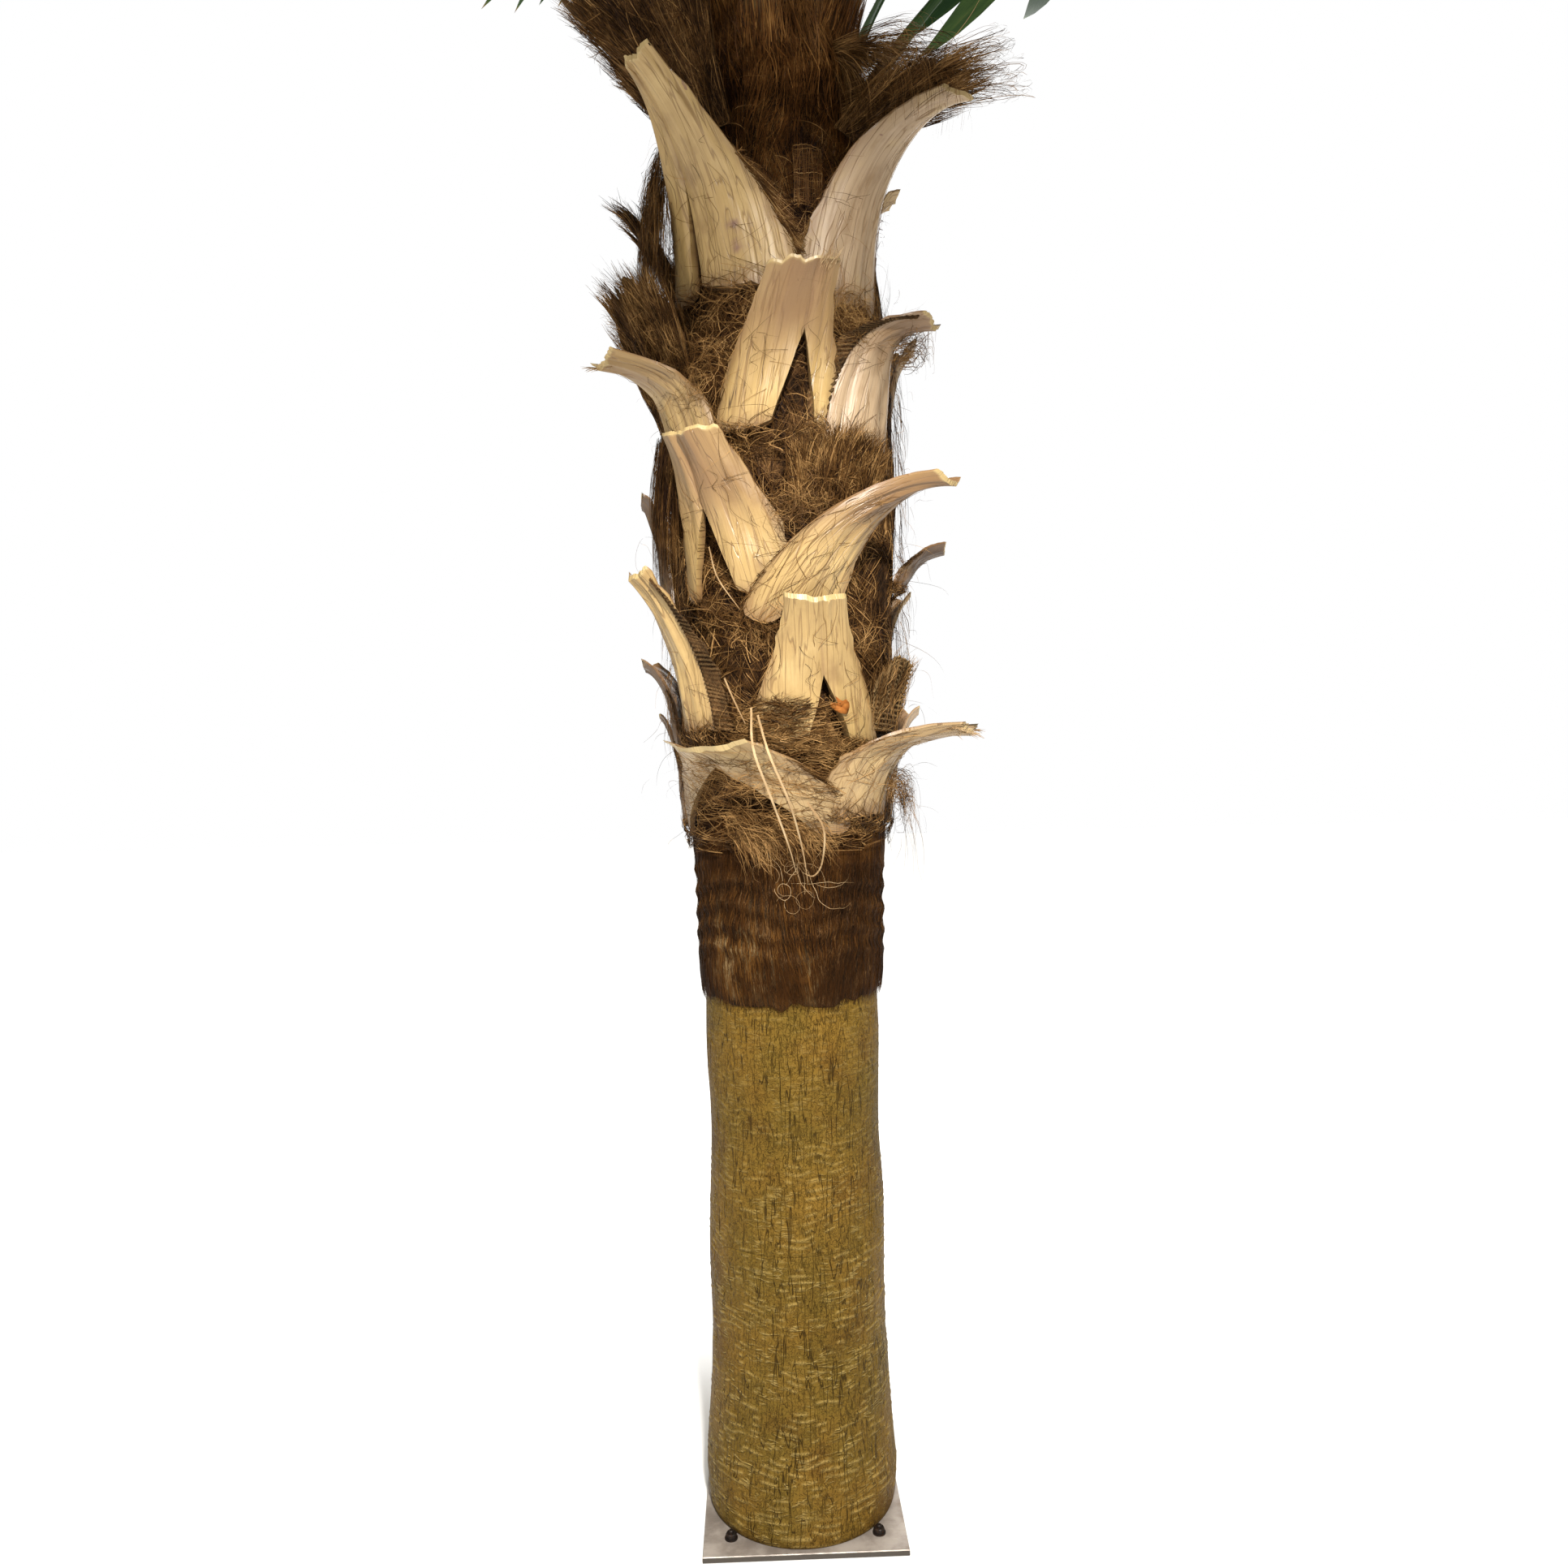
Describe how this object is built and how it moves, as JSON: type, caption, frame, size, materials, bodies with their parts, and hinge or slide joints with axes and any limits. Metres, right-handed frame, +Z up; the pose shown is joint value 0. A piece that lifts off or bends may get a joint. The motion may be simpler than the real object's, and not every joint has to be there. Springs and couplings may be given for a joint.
{
  "type": "artificial sabal palm",
  "caption": "artificial fan palm on a square steel base plate: moulded bark trunk, fibre sleeve, cut leaf bases, fibre mats and a crown of fan fronds",
  "frame": {"origin": "centre of the base plate's underside, on the trunk's axis", "axes": "+Z up along the trunk, -Y the side that faces the picture's camera, +X to its right"},
  "size_m": [2.9873, 2.8579, 4.5659],
  "materials": {
    "plate_steel": "scuffed bare steel",
    "bolt_steel": "dark oxidised",
    "bark": "moulded bark, ochre, satin",
    "fibre": "combed dark brown fibre",
    "fibre_mat": "matted brown fibre",
    "leaf_base": "dry tan, satin, long grain",
    "frond": "dark green, semi-gloss"
  },
  "bodies": {
    "root": {"anchor_bolt_1": "bolt_steel", "anchor_bolt_2": "bolt_steel", "anchor_bolt_3": "bolt_steel", "anchor_bolt_4": "bolt_steel", "base_plate": "plate_steel", "fibre_mat_1": "fibre_mat", "fibre_mat_10": "fibre_mat", "fibre_mat_2": "fibre_mat", "fibre_mat_3": "fibre_mat", "fibre_mat_4": "fibre_mat", "fibre_mat_5": "fibre_mat", "fibre_mat_6": "fibre_mat", "fibre_mat_7": "fibre_mat", "fibre_mat_8": "fibre_mat", "fibre_mat_9": "fibre_mat", "fibre_sleeve": "fibre", "frond_01": "frond", "frond_02": "frond", "frond_03": "frond", "frond_04": "frond", "frond_05": "frond", "frond_06": "frond", "frond_07": "frond", "frond_08": "frond", "frond_09": "frond", "frond_10": "frond", "frond_11": "frond", "frond_12": "frond", "frond_13": "frond", "frond_14": "frond", "frond_15": "frond", "leaf_base_01": "leaf_base", "leaf_base_02": "leaf_base", "leaf_base_03": "leaf_base", "leaf_base_04": "leaf_base", "leaf_base_05": "leaf_base", "leaf_base_06": "leaf_base", "leaf_base_07": "leaf_base", "leaf_base_08": "leaf_base", "leaf_base_09": "leaf_base", "leaf_base_10": "leaf_base", "leaf_base_11": "leaf_base", "leaf_base_12": "leaf_base", "leaf_base_13": "leaf_base", "leaf_base_14": "leaf_base", "leaf_base_15": "leaf_base", "leaf_base_16": "leaf_base", "leaf_base_17": "leaf_base", "leaf_base_18": "leaf_base", "leaf_base_19": "leaf_base", "leaf_base_20": "leaf_base", "leaf_base_21": "leaf_base", "leaf_base_22": "leaf_base", "leaf_base_23": "leaf_base", "leaf_base_24": "leaf_base", "leaf_base_25": "leaf_base", "leaf_base_26": "leaf_base", "spear_leaf": "frond", "trunk": "bark"}
  },
  "joints": []
}
